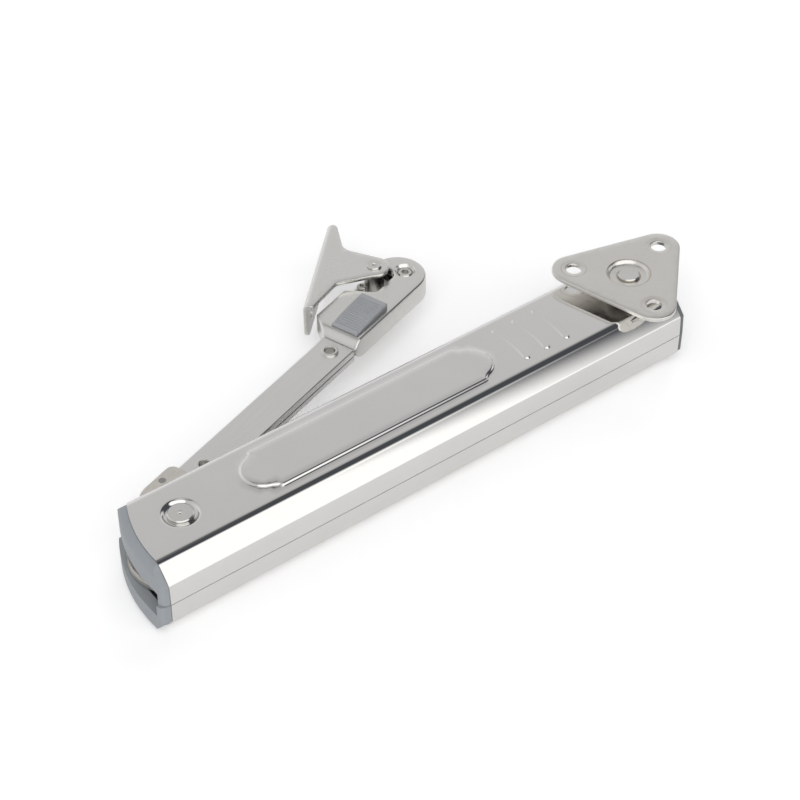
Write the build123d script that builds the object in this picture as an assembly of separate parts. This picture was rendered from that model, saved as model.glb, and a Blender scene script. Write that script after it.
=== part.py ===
from build123d import *
import os
from math import atan2, cos, degrees, hypot, pi, radians, sin, sqrt

# A lid stay for cabinets, in millimetres. The pieces are drawn about the arm's pivot, at the
# height of the seam between the two shells, with X along the housing and Z along the pivot.
# At the end they are moved so that the origin is the centre of the mounting plate's screw
# pattern, on the face that lies against the cabinet side.

# Housing
housing_width = 38.0
housing_height = 27.0
wall = 1.0
side_height = 7.4          # from the seam to the crease, on each shell
side_draft = 0.2
bevel_run = 5.4            # width of the bevel between side and flat
bend_radius = 3.5
crease_radius = 0.4
seam_gap = 0.2
pivot_to_plate = 179.5
left_overhang = 16.7       # from the pivot to the shells' left end
right_overhang = 7.4       # from the plate's rivet to the shells' right end
end_arc_radius = 52.1      # the shells' left end, seen from above
end_arc_y = -10.95         # where that arc is furthest out
fit_gap = 0.05             # between pieces of one body that sit in each other
running_gap = 0.05         # between a shaft and what turns on it
side_gap = 0.3             # between bodies that pass each other

# Pressed shapes in the upper shell
plaque_centre = 70.9
plaque_length = 80.6
plaque_width = 18.6
plaque_lobe = 7.5
plaque_rise = 0.8
rib_start = 128.5
rib_pitch = 8.4
rib_count = 3
rib_length = 18.0
rib_width = 2.4
rib_rise = 0.5
rib_sag = 0.9
dimple_radius = 6.0
dimple_floor_radius = 4.9
dimple_depth = 1.1

# End caps
cap_inset = 0.3            # the caps are this much smaller than the shells all round
left_cap_thickness = 2.9
lower_cap_extra = 0.8
left_cap_edge = 3.0
left_cap_corner = 2.2
right_cap_thickness = 2.1
right_cap_edge = 0.9
plug_depth = 5.0
plug_wall = 1.4

# Slot for the arm, through the left caps and the back of the shells
slot_half = 4.5
slot_front = -16.4
slot_end = 62.0

# Mounting plate
screw_pitch = 32.0
screw_hole_radius = 2.6
plate_corner_radius = 7.3
plate_thickness = 1.5
plate_gap = 3.5
plate_angle = 15.0
dish_radius = 7.3
dish_floor_radius = 6.1
dish_depth = 1.3
plate_rivet_radius = 3.0
plate_head_radius = 3.6
plate_head_height = 0.9
plate_spacer_radius = 7.0

# Pivot of the arm
pivot_head_radius = 4.15
pivot_head_proud = 0.25
pivot_tail_radius = 3.5
pivot_journal_radius = 5.0
pivot_bush_radius = 7.5

# Arm
arm_angle = 18.0           # from the housing, at rest
arm_fold = 8.0             # how far it still folds in
arm_opening = 105.0        # how far it swings out
arm_near = 8.6             # offset of the arm's near edge from the pivot
arm_far = 21.2
arm_length = 101.4
arm_half_height = 2.4
strip_thickness = 1.2
strip_lip_gap = 0.4
strip_edge_radius = 0.5
lip_start = 34.9
root_thickness = 1.6
root_radius = 17.5
root_end = 22.6
root_shoulder = 22.7
rivet_near_at = 29.3
rivet_far_at = arm_length - 5.1
hollow_shaft_radius = 2.3
hollow_bore_radius = 1.8
hollow_head_radius = 2.95
hollow_head_height = 0.7

# Cam, roller and spring
roller_radius = 5.0
roller_pin_radius = 2.0
roller_at = 18.5           # from the pivot, at rest
cam_travel = 5.5           # over the arm's opening
cam_run_out = 19.0         # how far the cut runs on past the housing's line
cheek_thickness = 3.0
carriage_length = 4.3
spring_wire = 2.4
spring_radius = 8.3
spring_turns = 15
rod_radius = 3.9
abutment_start = 150.0

# Head at the arm's end
head_near = 8.1
head_far = 28.2
head_start = arm_length + 0.1
head_round_at = head_start + 38.9
head_top = 5.3
head_wall = 1.2
head_bend = 0.8
ramp_length = 3.3
shoulder_at = head_start + 5.6
tongue_start = arm_length - 13.4
tongue_inset = 1.4
pocket_start = head_start + 21.7
pocket_slant = 5.4
pocket_edge = 18.6
pocket_end = head_start + 39.8
hub_at = (head_start + 34.8, 24.8)
hub_radius = 3.4
bracket_pin_radius = 2.0
bracket_pin_head = 2.5
catch_at = (head_start + 29.0, 26.1)
catch_radius = 1.8
catch_bore_radius = 0.8
adjuster_at = (head_start + 42.1, 17.0)
adjuster_radius = 2.5
adjuster_dimple = 3.5
adjuster_flange = 3.3
socket_across = 2.5

# Release button and latch
button_start = head_start + 3.4
button_length = 17.8
button_near = 9.9
button_width = 10.4
button_low = 1.0
button_high = 2.6
button_travel = 2.5
groove_count = 15
groove_pitch = 0.98
groove_width = 0.4
groove_depth = 0.3
stem_length = 7.0
stem_width = 4.0
latch_thickness = 1.4
latch_length = 24.0
latch_start = button_start + 1.9
latch_stop = latch_start + 31.9
return_spring_radius = 1.05
return_spring_wire = 0.45

# Door bracket
bracket_rise = 1.7         # from the head's top to the bracket
bracket_thickness = 1.5
bracket_lug_radius = 5.1
flange_length = 46.2
flange_angle = 25.6        # from the arm
flange_corner = (head_start + 3.5, 32.3)
flange_height = 15.0
flange_fold_radius = 2.2
flange_corner_radius = 4.0
flange_end_depth = 3.5
flange_hole_height = 6.2     # above the flange's lower edge
flange_hole_radius = 2.3

half_height = housing_height / 2
housing_right = pivot_to_plate + right_overhang
plate_top = half_height + plate_gap + plate_thickness
root_outer = arm_half_height + root_thickness
bush_start = root_outer + 0.1
bracket_low = head_top + bracket_rise
bracket_high = bracket_low + bracket_thickness
head_width = head_far - head_near
far_away = 400.0


def outline(*points, radius=0.0):
    return make_face(FilletPolyline(*points, radius=radius, close=True))


def disc(radius, low, high, at=(0, 0)):
    return Pos(at[0], at[1], (low + high) / 2) * Cylinder(radius, high - low)


def block(low, high):
    size = [b - a for a, b in zip(low, high)]
    return Pos(*[(a + b) / 2 for a, b in zip(low, high)]) * Box(*size)


def slab(face, low, high):
    return Pos(0, 0, low) * extrude(face, amount=high - low)


def upper(part, gap=seam_gap):
    return part & block((-far_away, -far_away, gap / 2), (far_away, far_away, far_away))


def lower(part, gap=seam_gap):
    return part & block((-far_away, -far_away, -far_away), (far_away, far_away, -gap / 2))


# ---- housing

def housing_section(inset=0.0):
    bevel_rise = half_height - side_height
    slope = atan2(bevel_rise, bevel_run)
    crease_shift = inset * (1 - cos(pi / 2 - slope)) / sin(pi / 2 - slope)
    flat_shift = inset * (1 - cos(slope)) / sin(slope)
    side = housing_width / 2 - inset
    crease = (side - side_draft, side_height - crease_shift)
    flat = (housing_width / 2 - side_draft - bevel_run - flat_shift, half_height - inset)
    quarter = [(side, 0), crease, flat]
    points = quarter + [(-y, z) for y, z in reversed(quarter)]
    points += [(-y, -z) for y, z in quarter[1:]] + [(y, -z) for y, z in reversed(quarter[1:])]
    bend = bend_radius - inset
    bends = [crease_radius, bend]
    return outline(*points, radius=[0] + bends + bends[::-1] + [0] + bends + bends[::-1])


def housing_bar(inset, start, end):
    return Pos(start, 0, 0) * extrude(Plane.YZ * housing_section(inset), amount=end - start)


def end_x(radius, y):
    centre = end_arc_radius - left_overhang
    return centre - sqrt(radius ** 2 - max(y - end_arc_y, 0) ** 2)


def end_plan(radius, front=-housing_width, corner=0.0):
    back = housing_width / 2 + 3
    start = (end_x(radius, front), front)
    turn = (end_x(radius, end_arc_y), end_arc_y)
    middle = (end_x(radius, (end_arc_y + back) / 2), (end_arc_y + back) / 2)
    stop = (end_x(radius, back), back)
    edges = Polyline(start, turn) + ThreePointArc(turn, middle, stop)
    edges += Polyline(stop, (far_away, back), (far_away, front), start)
    plan = make_face(edges)
    if corner:
        plan = fillet(plan.vertices().sort_by(Axis.X).filter_by(lambda v: v.Y < front + 0.01)[0], corner)
    return plan


def arm_slot():
    long_slot = block((-far_away, slot_front, -slot_half), (0, far_away, slot_half))
    back_slot = block((-1, 10, -slot_half), (slot_end - slot_half, far_away, slot_half))
    rounded = Pos(slot_end - slot_half, far_away / 2 + 10, 0) * Rot(90, 0, 0) * Cylinder(slot_half, far_away)
    return long_slot + back_slot + rounded


def plaque(inset=0.0, rise=plaque_rise):
    width = plaque_width - 2 * inset
    face = Pos(plaque_centre, 0) * Rectangle(plaque_length - 2 * inset, width)
    for side in (-1, 1):
        face += Pos(plaque_centre + side * plaque_length / 2, 0) * Circle(plaque_lobe - inset)
    return slab(face, half_height - wall - 0.1, half_height + rise)


def ribs(inset=0.0, rise=rib_rise):
    all_ribs = Part()
    for number in range(rib_count):
        x = rib_start + number * rib_pitch
        half = rib_length / 2 - rib_width / 2
        line = ThreePointArc((x, -half), (x + rib_sag, 0), (x, half))
        face = SlotArc(line.edge(), rib_width - 2 * inset)
        all_ribs += slab(face, half_height - wall - 0.1, half_height + rise)
    return all_ribs


def shell_tube():
    tube = housing_bar(0, -left_overhang - 1, housing_right) - housing_bar(wall, -far_away / 2, far_away)
    tube &= slab(end_plan(end_arc_radius), -half_height - 2, half_height + 2)
    return tube - arm_slot()


def pivot_dimple(shell):
    floor = half_height - dimple_depth
    shell += disc(dimple_radius, floor - wall, half_height - wall / 2)
    cone = Cone(dimple_floor_radius, dimple_radius, dimple_depth)
    shell -= Pos(0, 0, half_height - dimple_depth / 2) * cone
    return shell - disc(pivot_tail_radius + fit_gap, 0, far_away)


def make_upper_shell():
    shell = upper(shell_tube())
    raised = plaque() + ribs()
    tops = raised.faces().filter_by(Axis.Z).group_by(Axis.Z)[-1:] + raised.faces().filter_by(
        lambda f: abs(f.center().Z - half_height - rib_rise) < 0.01)
    shell += raised
    shell -= plaque(wall, 0.0) + Pos(0, 0, -0.0) * ribs(wall * 0.6, -0.4)
    shell = pivot_dimple(shell)
    return shell - disc(plate_rivet_radius + fit_gap, 0, far_away, at=(pivot_to_plate, 0))


def make_lower_shell():
    shell = Rot(180, 0, 0) * lower(shell_tube())
    shell = Rot(180, 0, 0) * pivot_dimple(shell)
    return shell - disc(plate_rivet_radius + fit_gap, -far_away, 0, at=(pivot_to_plate, 0))


def left_cap(extra):
    outer_radius = end_arc_radius + left_cap_thickness + extra
    front = -housing_width / 2 + cap_inset
    plan = end_plan(outer_radius, front, left_cap_corner)
    top = half_height - cap_inset
    body = slab(plan, -top, top)
    rim = body.edges().filter_by(lambda e: e.center().X < 0).filter_by(
        lambda e: abs(abs(e.center().Z) - top) < 0.01)
    body = fillet(rim, left_cap_edge)
    body &= housing_bar(cap_inset, -left_overhang - 8, 30)
    body -= slab(end_plan(end_arc_radius + fit_gap), -half_height, half_height)
    ring = housing_bar(wall + fit_gap, -left_overhang - 1, 30)
    ring -= housing_bar(wall + plug_wall, -left_overhang - 2, 31)
    ring &= slab(end_plan(end_arc_radius + 0.5), -half_height, half_height)
    ring -= slab(end_plan(end_arc_radius - plug_depth), -half_height, half_height)
    return body + ring - arm_slot()


def right_cap():
    start = housing_right + fit_gap
    body = housing_bar(cap_inset, start, start + right_cap_thickness)
    rim = body.faces().sort_by(Axis.X)[-1].edges()
    body = fillet(rim, right_cap_edge)
    ring = housing_bar(wall + fit_gap, start - plug_depth, start + 0.5)
    ring -= housing_bar(wall + plug_wall, start - plug_depth - 1, start)
    ring -= disc(plate_spacer_radius + fit_gap, -far_away, far_away, at=(pivot_to_plate, 0))
    return body + ring


def make_pivot_rivet():
    rivet = disc(pivot_tail_radius, -half_height + dimple_depth, half_height - dimple_depth)
    rivet += disc(pivot_journal_radius, -bush_start, bush_start)
    for side in (-1, 1):
        floor = side * (half_height - dimple_depth)
        top = side * (half_height + pivot_head_proud * (side > 0) - 0.1 * (side < 0))
        head = disc(pivot_head_radius, min(floor, top), max(floor, top))
        head = chamfer(head.edges().filter_by(lambda e: abs(e.center().Z - top) < 0.01), 0.3)
        head -= Pos(0, 0, top) * Sphere(0.8)
        rivet += head
    return rivet


def pivot_bush(side):
    inner, outer = bush_start, half_height - wall - dimple_depth
    bush = disc(pivot_bush_radius, inner, outer) - disc(pivot_tail_radius + fit_gap, 0, far_away)
    return bush if side > 0 else Rot(180, 0, 0) * bush


# ---- mounting plate

def plate_holes():
    radius = screw_pitch / sqrt(3)
    return [(radius * cos(radians(plate_angle + 120 * n)), radius * sin(radians(plate_angle + 120 * n)))
            for n in range(3)]


def make_mount_plate():
    low = -plate_thickness
    corners = [Pos(x, y) * Circle(plate_corner_radius) for x, y in plate_holes()]
    plate = slab(make_hull([corner.edge() for corner in corners]), low, 0)
    plate = chamfer(plate.edges().filter_by(lambda e: abs(e.center().Z) < 0.01), 0.25)
    shape = Cone(dish_floor_radius, dish_radius, dish_depth)
    plate += Pos(0, 0, low - dish_depth / 2) * shape
    plate -= Pos(0, 0, -dish_depth / 2) * shape
    plate -= disc(plate_rivet_radius + running_gap, -far_away, 1)
    for at in plate_holes():
        plate -= disc(screw_hole_radius, low - 1, 1, at)
    return Pos(pivot_to_plate, 0, plate_top) * plate


def make_plate_rivet():
    seat = plate_top - dish_depth + running_gap
    rivet = disc(plate_rivet_radius, -half_height + wall, seat)
    head = disc(plate_head_radius, seat, seat + plate_head_height)
    head = chamfer(head.edges().group_by(Axis.Z)[-1], 0.25)
    tail = disc(plate_head_radius, -half_height - 0.5, -half_height)
    tail = fillet(tail.edges().group_by(Axis.Z)[0], 0.4) + disc(plate_rivet_radius, -half_height, 0)
    return Pos(pivot_to_plate, 0, 0) * (rivet + head + tail)


def plate_ring(radius, low, high):
    ring = disc(radius, low, high) - disc(plate_rivet_radius + fit_gap, low - 1, high + 1)
    return Pos(pivot_to_plate, 0, 0) * ring


# ---- arm, drawn along X from the pivot

def arm_frame(part):
    return Rot(0, 0, arm_angle) * part


def cam_distance(angle):
    return roller_at - cam_travel * angle / arm_opening


def roller_centre(angle):
    turn = radians(-arm_angle - angle)
    return (cam_distance(angle) * cos(turn), cam_distance(angle) * sin(turn))


def cam_point(angle, gap):
    turn = radians(-arm_angle - angle)
    distance = cam_distance(angle)
    slope = cam_travel / radians(arm_opening)
    out_x = distance * cos(turn) + slope * sin(turn)
    out_y = distance * sin(turn) - slope * cos(turn)
    reach = (roller_radius + gap) / hypot(distance, slope)
    x, y = roller_centre(angle)
    return (x - reach * out_x, y - reach * out_y)


def cam_space(gap):
    first, last, steps = -arm_angle - cam_run_out, arm_opening + 4, 16
    angles = [first + (last - first) * n / steps for n in range(steps + 1)]
    edge = Spline(*[cam_point(angle, gap) for angle in angles])
    far = 3 * root_radius
    sweep = arm_angle + last
    outside = [(far * cos(radians(-sweep * part)), far * sin(radians(-sweep * part)))
               for part in (1, 0.75, 0.5, 0.25, 0)]
    face = make_face(edge + Polyline(edge @ 1, *outside, edge @ 0))
    return face + Pos(*roller_centre(last)) * Circle(roller_radius + gap)


def root_blank(inset):
    tail = outline((0, 0), (root_end, arm_near - 0.4 + inset), (root_end - inset, root_shoulder - inset),
                   (8, root_shoulder - inset), (-7.4, 15.8 - inset), radius=[0, 1.5, 2.5, 9, 0])
    return Circle(root_radius - inset) + tail


def root_plate():
    face = root_blank(0) - cam_space(running_gap)
    plate = slab(face, arm_half_height, root_outer)
    plate -= disc(pivot_journal_radius + running_gap, 0, far_away)
    return plate - disc(1.2, 0, far_away, at=(15.3, 20.4))


def make_root_core():
    inner = arm_half_height - strip_thickness
    face = root_blank(2.0) + Pos(rivet_near_at, (arm_near + arm_far) / 2) * Circle(4.9)
    face += outline((10, arm_near + 1.6), (rivet_near_at, arm_near + 1.6), (rivet_near_at, arm_far - 1.6),
                    (10, arm_far - 1.6))
    face -= cam_space(0.8)
    core = slab(face, -inner, inner) - disc(pivot_journal_radius + running_gap, -5, 5)
    core -= disc(1.2, -5, 5, at=(15.3, 20.4))
    return core - disc(hollow_shaft_radius + fit_gap, -5, 5, at=(rivet_near_at, (arm_near + arm_far) / 2))


def arm_strip():
    web_low = arm_half_height - strip_thickness
    lip_low = strip_lip_gap / 2
    bar = outline((8, arm_near), (arm_length, arm_near), (arm_length, arm_far), (8, arm_far))
    web = slab(bar + root_blank(0.3) - cam_space(0.5), web_low, arm_half_height)
    lips = block((lip_start, arm_near, lip_low), (arm_length, arm_far, web_low + 0.2))
    lips -= block((0, arm_near + strip_thickness, -1), (far_away, arm_far - strip_thickness, web_low))
    strip = web + lips
    edges = strip.edges().filter_by(Axis.X).filter_by(
        lambda e: abs(e.center().Z - arm_half_height) < 0.01 and e.length > 50)
    strip = fillet(edges, strip_edge_radius)
    strip -= disc(pivot_journal_radius + running_gap, 0, 5) + disc(1.2, 0, 5, at=(15.3, 20.4))
    for at in (rivet_near_at, rivet_far_at):
        strip -= disc(hollow_shaft_radius + fit_gap, 0, 5, at=(at, (arm_near + arm_far) / 2))
    return strip


def root_pin():
    pin = disc(1.2 - fit_gap, -root_outer, root_outer, at=(15.3, 20.4))
    return pin


def hollow_rivet(at):
    top = arm_half_height + hollow_head_height
    tube = disc(hollow_shaft_radius, -top, top)
    rim = disc(hollow_head_radius, arm_half_height, top)
    rim = fillet(rim.edges().group_by(Axis.Z)[-1], hollow_head_height * 0.6)
    tube += rim + Rot(180, 0, 0) * rim
    tube -= disc(hollow_bore_radius, -top - 1, top + 1)
    mouths = tube.edges().filter_by(GeomType.CIRCLE).filter_by(
        lambda e: abs(abs(e.center().Z) - top) < 0.01 and e.radius < hollow_bore_radius + 0.1)
    tube = fillet(mouths, 0.25)
    return Pos(at, (arm_near + arm_far) / 2, 0) * tube


# ---- cam follower, drawn at rest

def make_carriage():
    start = roller_at + roller_radius + 0.7
    end = start + carriage_length
    carriage = housing_bar(wall + 0.2, start, end)
    carriage -= block((start - 1, 10, -slot_half - 0.1), (end + 1, far_away, slot_half + 0.1))
    for side in (-1, 1):
        low, high = side * (root_outer + side_gap), side * (root_outer + side_gap + cheek_thickness)
        cheek = block((roller_at, -5, min(low, high)), (start, 5, max(low, high)))
        cheek += disc(5, min(low, high), max(low, high), at=(roller_at, 0))
        carriage += cheek
    carriage -= disc(roller_pin_radius + fit_gap, -far_away, far_away, at=(roller_at, 0))
    seat = Pos(end + 1.5, 0, 0) * Rot(0, 90, 0) * Cylinder(spring_radius - spring_wire / 2 - 0.2, 3)
    carriage += seat
    return carriage - Pos(end, 0, 0) * Rot(0, 90, 0) * Cylinder(rod_radius + fit_gap, 7)


def make_roller():
    half = root_outer
    roller = disc(roller_radius, -half, half, at=(roller_at, 0))
    roller = chamfer(roller.edges().filter_by(GeomType.CIRCLE), 0.3)
    return roller - disc(roller_pin_radius + running_gap, -half - 1, half + 1, at=(roller_at, 0))


def make_roller_pin():
    reach = root_outer + side_gap + cheek_thickness
    return disc(roller_pin_radius, -reach, reach, at=(roller_at, 0))


def make_guide_rod():
    start = roller_at + roller_radius + 0.7 + carriage_length - 3.5
    end = abutment_start + 14
    rod = Pos((start + end) / 2, 0, 0) * Rot(0, 90, 0) * Cylinder(rod_radius, end - start)
    return chamfer(rod.edges().filter_by(GeomType.CIRCLE), 0.4)


def coil(start, end, radius, wire, turns):
    rise = end - start - wire
    path = Helix(rise / turns, rise, radius)
    section = Plane(origin=path @ 0, z_dir=path % 0) * RegularPolygon(wire / 2, 8)
    spring = sweep(section, path=path, is_frenet=True)
    return Pos(start + wire / 2, 0, 0) * Rot(0, 90, 0) * spring


def make_main_spring():
    start = roller_at + roller_radius + 0.7 + carriage_length
    return coil(start, abutment_start, spring_radius, spring_wire, spring_turns)


def make_abutment():
    end = pivot_to_plate - plate_spacer_radius - fit_gap
    body = housing_bar(wall + 0.15, abutment_start, end)
    body -= block((abutment_start + 5, -10, -8), (end + 1, 10, 8))
    body += Pos(abutment_start + 8, 0, 0) * Rot(0, 90, 0) * Cylinder(rod_radius + 2, 16)
    return body - Pos(abutment_start + 8, 0, 0) * Rot(0, 90, 0) * Cylinder(rod_radius + 0.15, 18)


# ---- head, drawn in the arm's frame

def head_plan(inset=0.0):
    near, far = head_near + inset, head_far - inset
    radius = head_width / 2 - inset
    middle = (head_near + head_far) / 2
    start = head_start + inset * 0.4
    edges = Polyline((head_round_at, far), (shoulder_at + inset * 0.4, far), (start, arm_far - inset),
                     (start, near), (head_round_at, near))
    edges += ThreePointArc((head_round_at, near), (head_round_at + radius, middle), (head_round_at, far))
    return make_face(edges)


def pocket_plan(inset=0.0):
    face = outline((pocket_start, head_far + 1), (pocket_start + pocket_slant, pocket_edge),
                   (pocket_end, pocket_edge), (pocket_end, head_far + 1), radius=[0, 1.5, 3.5, 0])
    return offset(face, -inset) if inset else face


def make_head_cover():
    bottom = -arm_half_height
    cover = slab(head_plan(), bottom, head_top)
    ramp_top = head_start + ramp_length
    side = Plane.XZ * outline((head_start - 1, arm_half_height), (head_start, arm_half_height + 0.4),
                              (ramp_top, head_top), (ramp_top, head_top + 5), (head_start - 1, head_top + 5))
    cover -= Pos(0, 40, 0) * extrude(side, amount=60, both=True)
    rim = cover.faces().filter_by(Axis.Z).sort_by(Axis.Z)[-1].edges()
    cover = fillet(rim, head_bend)
    inner = slab(head_plan(head_wall), bottom - 1, head_top - head_wall)
    inner -= Pos(0, 40, -head_wall) * extrude(side, amount=60, both=True)
    cover -= inner
    entry = block((head_start - 1, arm_near + 0.9, bottom - 1),
                  (head_start + 2, arm_far - 0.9, arm_half_height - strip_thickness + fit_gap))
    cover -= entry
    corner = Plane.XZ * (Pos(head_start, bottom) * (Rectangle(9, 9) - Pos(4.5, 4.5) * Circle(4.5)))
    cover -= Pos(0, 40, 0) * extrude(corner, amount=60, both=True)
    cover -= slab(pocket_plan(), bottom - 1, head_top + 1)
    cover -= Pos(*adjuster_at, head_top - head_wall / 2) * Cone(adjuster_radius + 0.3, adjuster_dimple, head_wall)
    slot_middle = (button_near + button_width / 2)
    first = button_start + 4.0
    slot = block((first, slot_middle - stem_width / 2 - 0.2, 0),
                 (first + stem_length + button_travel + 0.4, slot_middle + stem_width / 2 + 0.2, far_away))
    return cover - slot


def make_head_base():
    inner = arm_half_height - strip_thickness
    plate = slab(head_plan(head_wall + fit_gap), -inner, inner)
    plate += slab(pocket_plan(fit_gap) & head_plan(), -inner, inner)
    tongue = outline((tongue_start, arm_near + tongue_inset), (head_start + 4, arm_near + tongue_inset),
                     (head_start + 4, arm_far - tongue_inset), (tongue_start, arm_far - tongue_inset),
                     radius=[3, 0, 0, 3])
    plate += slab(tongue, -inner, inner)
    plate -= disc(hollow_shaft_radius + fit_gap, -5, 5, at=(rivet_far_at, (arm_near + arm_far) / 2))
    plate -= disc(bracket_pin_radius + fit_gap, -5, 5, at=hub_at)
    plate -= disc(catch_radius - 0.4, -5, 5, at=catch_at)
    plate -= disc(adjuster_radius + running_gap, -5, 5, at=adjuster_at)
    middle = button_near + button_width / 2
    stop = block((latch_stop, middle - 2, inner - 0.1), (latch_stop + 1, middle + 2, head_top - head_wall - 0.2))
    return plate + stop


def make_hub_bush():
    inner = arm_half_height - strip_thickness
    bush = disc(hub_radius, inner, bracket_low - fit_gap, at=hub_at)
    return bush - disc(bracket_pin_radius + fit_gap, 0, 20, at=hub_at)


def make_bracket_pin():
    inner = arm_half_height - strip_thickness
    head_low = bracket_high + fit_gap
    pin = disc(bracket_pin_radius, -inner, head_low + 0.3)
    head = disc(bracket_pin_head, head_low, head_low + 0.6)
    head = chamfer(head.edges().group_by(Axis.Z)[-1], 0.2) - Pos(0, 0, head_low + 0.9) * Sphere(0.8)
    tail = disc(bracket_pin_radius + 0.6, -inner - 0.5, -inner)
    return Pos(*hub_at, 0) * (pin + head + tail - Pos(0, 0, head_low + 0.9) * Sphere(0.8))


def make_catch_pin():
    inner = arm_half_height - strip_thickness
    pin = disc(catch_radius, inner, inner + 1.9) + disc(catch_radius - 0.4 - fit_gap, -inner, inner)
    pin = fillet(pin.edges().group_by(Axis.Z)[-1], 0.5)
    return Pos(*catch_at, 0) * (pin - disc(catch_bore_radius, -5, 10))


def make_adjuster():
    top = head_top - 0.7
    low = -arm_half_height
    screw = disc(adjuster_radius, low, top)
    screw = chamfer(screw.edges().group_by(Axis.Z)[-1], 0.3)
    screw += disc(adjuster_flange, low, low + 1.0)
    screw -= slab(RegularPolygon(socket_across / 2, 6, major_radius=False), top - 2.0, top + 1)
    return Pos(*adjuster_at, 0) * screw


def make_release_button():
    low = head_top + fit_gap
    end = button_start + button_length
    start_top, end_top = head_top + button_low, head_top + button_high
    middle = (button_start + button_length * 0.55, (start_top + end_top) / 2 + 0.55)
    arc = ThreePointArc((button_start + 0.4, start_top), middle, (end, end_top))
    side = make_face(arc + Polyline((end, end_top), (end - 0.4, low), (button_start, low),
                                    (button_start + 0.4, start_top)))
    button = Pos(0, button_near + button_width, 0) * extrude(Plane.XZ * side, amount=button_width)
    for number in range(groove_count):
        x = button_start + 1.3 + number * groove_pitch
        height = (arc @ (((x - button_start) / button_length))).Y
        groove = Pos(x, button_near + button_width / 2, height) * Box(groove_width, button_width + 2,
                                                                     2 * groove_depth)
        button -= groove
    middle = button_near + button_width / 2
    stem_start = button_start + 4.2
    latch_top = arm_half_height - strip_thickness + 0.1 + latch_thickness
    stem = block((stem_start, middle - stem_width / 2, latch_top),
                 (stem_start + stem_length, middle + stem_width / 2, low + 0.2))
    return button + stem


def make_latch():
    low = arm_half_height - strip_thickness + 0.1
    middle = button_near + button_width / 2
    hook = latch_start + 19.2
    face = Pos(latch_start + latch_length / 2, middle) * RectangleRounded(latch_length, 5.0, 1.2)
    face += outline((hook, middle), (hook + 4.2, middle), (hook + 4.2, pocket_edge + 1.6),
                    (hook + 1.4, pocket_edge + 1.6), (hook, pocket_edge), radius=[0, 0, 0.8, 0.8, 0.5])
    return slab(face, low, low + latch_thickness)


def make_return_spring():
    middle = button_near + button_width / 2
    height = arm_half_height - strip_thickness + 0.1 + return_spring_radius + return_spring_wire / 2 + 0.1
    return Pos(0, middle, height) * coil(latch_start + latch_length, latch_stop, return_spring_radius,
                                         return_spring_wire, 6)


def flange_point(along, across):
    turn = radians(flange_angle)
    x = flange_corner[0] + along * cos(turn) - across * sin(turn)
    return (x, flange_corner[1] + along * sin(turn) + across * cos(turn))


def make_door_bracket():
    low = bracket_high - flange_height
    depth = flange_end_depth
    x, y = hub_at
    body = outline(flange_point(0, 0), flange_point(0, -depth), (x - 14.8, y + 5.4), (x - 3.9, y - 3.3),
                   (x + 5.05, y + 0.6), (x + 1.9, y + 14.4), flange_point(flange_length, -depth),
                   flange_point(flange_length, 0),
                   radius=[0, 0.8, 4, 0, 0, 5, 2.2, 0])
    web = slab(body + Pos(*hub_at) * Circle(bracket_lug_radius), bracket_low, bracket_high)
    fold = outline((0, low), (0, bracket_high), (-depth, bracket_high), (-depth, bracket_low),
                   (-bracket_thickness, bracket_low), (-bracket_thickness, low),
                   radius=[0, flange_fold_radius, 0, 0, flange_fold_radius - bracket_thickness, 0])
    flange = extrude(Plane.YZ * fold, amount=flange_length)
    face = outline((0, low), (flange_length, low), (flange_length, bracket_high + 1), (0, bracket_high + 1),
                   radius=[flange_corner_radius, flange_corner_radius, 0, 0])
    flange &= extrude(Plane.XZ * face, amount=depth - 1)
    for side in (-1, 1):
        x = flange_length / 2 + side * screw_pitch / 2
        flange -= Pos(x, 0, low + flange_hole_height) * Rot(90, 0, 0) * Cylinder(flange_hole_radius, 10)
    place = Pos(*flange_corner, 0) * Rot(0, 0, flange_angle)
    web -= place * block((-10, 1.2 - depth, bracket_low - 1), (flange_length + 10, 10, bracket_high + 1))
    web -= disc(bracket_pin_radius + running_gap, 0, 20, at=hub_at)
    return web + place * flange


housing_parts = {
    "upper_shell": make_upper_shell(),
    "lower_shell": make_lower_shell(),
    "left_cap_upper": upper(left_cap(0)),
    "left_cap_lower": lower(left_cap(lower_cap_extra)),
    "right_cap_upper": upper(right_cap()),
    "right_cap_lower": lower(right_cap()),
    "pivot_rivet": make_pivot_rivet(),
    "pivot_bush_upper": pivot_bush(1),
    "pivot_bush_lower": pivot_bush(-1),
    "mount_plate": make_mount_plate(),
    "plate_rivet": make_plate_rivet(),
    "plate_washer": plate_ring(5.0, half_height, plate_top - plate_thickness - dish_depth),
    "plate_spacer": plate_ring(plate_spacer_radius, -half_height + wall, half_height - wall),
    "spring_abutment": make_abutment(),
    "main_spring": make_main_spring(),
    "follower_carriage": make_carriage(),
    "roller_pin": make_roller_pin(),
    "cam_roller": make_roller(),
    "guide_rod": make_guide_rod(),
}
arm_parts = {
    "root_plate_upper": root_plate(),
    "root_plate_lower": mirror(root_plate(), Plane.XY),
    "root_core": make_root_core(),
    "arm_strip_upper": arm_strip(),
    "arm_strip_lower": mirror(arm_strip(), Plane.XY),
    "root_pin": root_pin(),
    "arm_rivet_near": hollow_rivet(rivet_near_at),
    "arm_rivet_far": hollow_rivet(rivet_far_at),
    "head_base": make_head_base(),
    "head_cover": make_head_cover(),
    "hub_bush": make_hub_bush(),
    "bracket_pin": make_bracket_pin(),
    "catch_pin": make_catch_pin(),
    "adjusting_screw": make_adjuster(),
    "release_button": make_release_button(),
    "latch_slide": make_latch(),
    "return_spring": make_return_spring(),
    "door_bracket": make_door_bracket(),
}

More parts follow.
